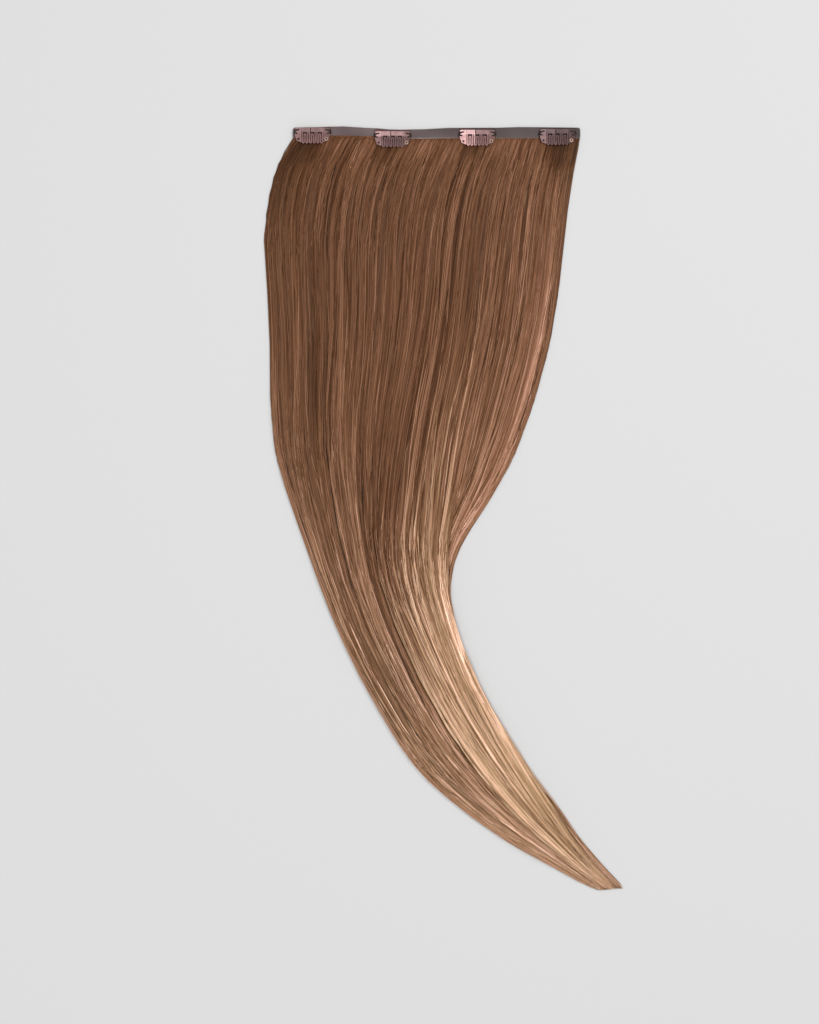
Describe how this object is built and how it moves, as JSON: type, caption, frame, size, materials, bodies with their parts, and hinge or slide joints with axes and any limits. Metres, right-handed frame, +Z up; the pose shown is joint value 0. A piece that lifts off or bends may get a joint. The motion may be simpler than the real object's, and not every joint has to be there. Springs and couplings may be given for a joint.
{
  "type": "clip-in hair extension weft",
  "caption": "Wide weft of long straight balayage hair on a thin skin band with sewn-on snap clips, laid flat in a sweeping curve.",
  "frame": {"origin": "middle of the band's underside, on the surface that the weft lies on", "axes": "+X runs along the band, +Y from the hair to the band's upper edge, +Z up from the surface, clips up"},
  "size_m": [0.2484, 0.5329, 0.009],
  "materials": {
    "skin_band": "soft satin polyurethane",
    "hair": "smooth brown to blonde hair",
    "clip_enamel": "semi-gloss rosy brown paint",
    "clip_brass": "polished"
  },
  "bodies": {
    "root": {"band": "skin_band", "hair_fall": "hair", "clip_1_frame": "clip_enamel", "clip_1_eyelet": "clip_brass", "clip_2_frame": "clip_enamel", "clip_2_eyelet": "clip_brass", "clip_3_frame": "clip_enamel", "clip_3_eyelet": "clip_brass", "clip_4_frame": "clip_enamel", "clip_4_eyelet": "clip_brass"},
    "comb_1": {"clip_1_comb": "clip_enamel"},
    "comb_2": {"clip_2_comb": "clip_enamel"},
    "comb_3": {"clip_3_comb": "clip_enamel"},
    "comb_4": {"clip_4_comb": "clip_enamel"}
  },
  "joints": [
    {"name": "clip_1_open", "type": "hinge", "parent": "root", "child": "comb_1", "pos_m": [-0.0864, 0.00279, 0.00185], "axis": [-1, 0, 0], "range_deg": [0, 50]},
    {"name": "clip_2_open", "type": "hinge", "parent": "root", "child": "comb_2", "pos_m": [-0.0306, 0.00024, 0.00185], "axis": [-1, 0, 0], "range_deg": [0, 50]},
    {"name": "clip_3_open", "type": "hinge", "parent": "root", "child": "comb_3", "pos_m": [0.0284, 0.00121, 0.00185], "axis": [-1, 0, 0], "range_deg": [0, 50]},
    {"name": "clip_4_open", "type": "hinge", "parent": "root", "child": "comb_4", "pos_m": [0.0842, 0.00178, 0.00185], "axis": [-1, 0, 0], "range_deg": [0, 50]}
  ]
}
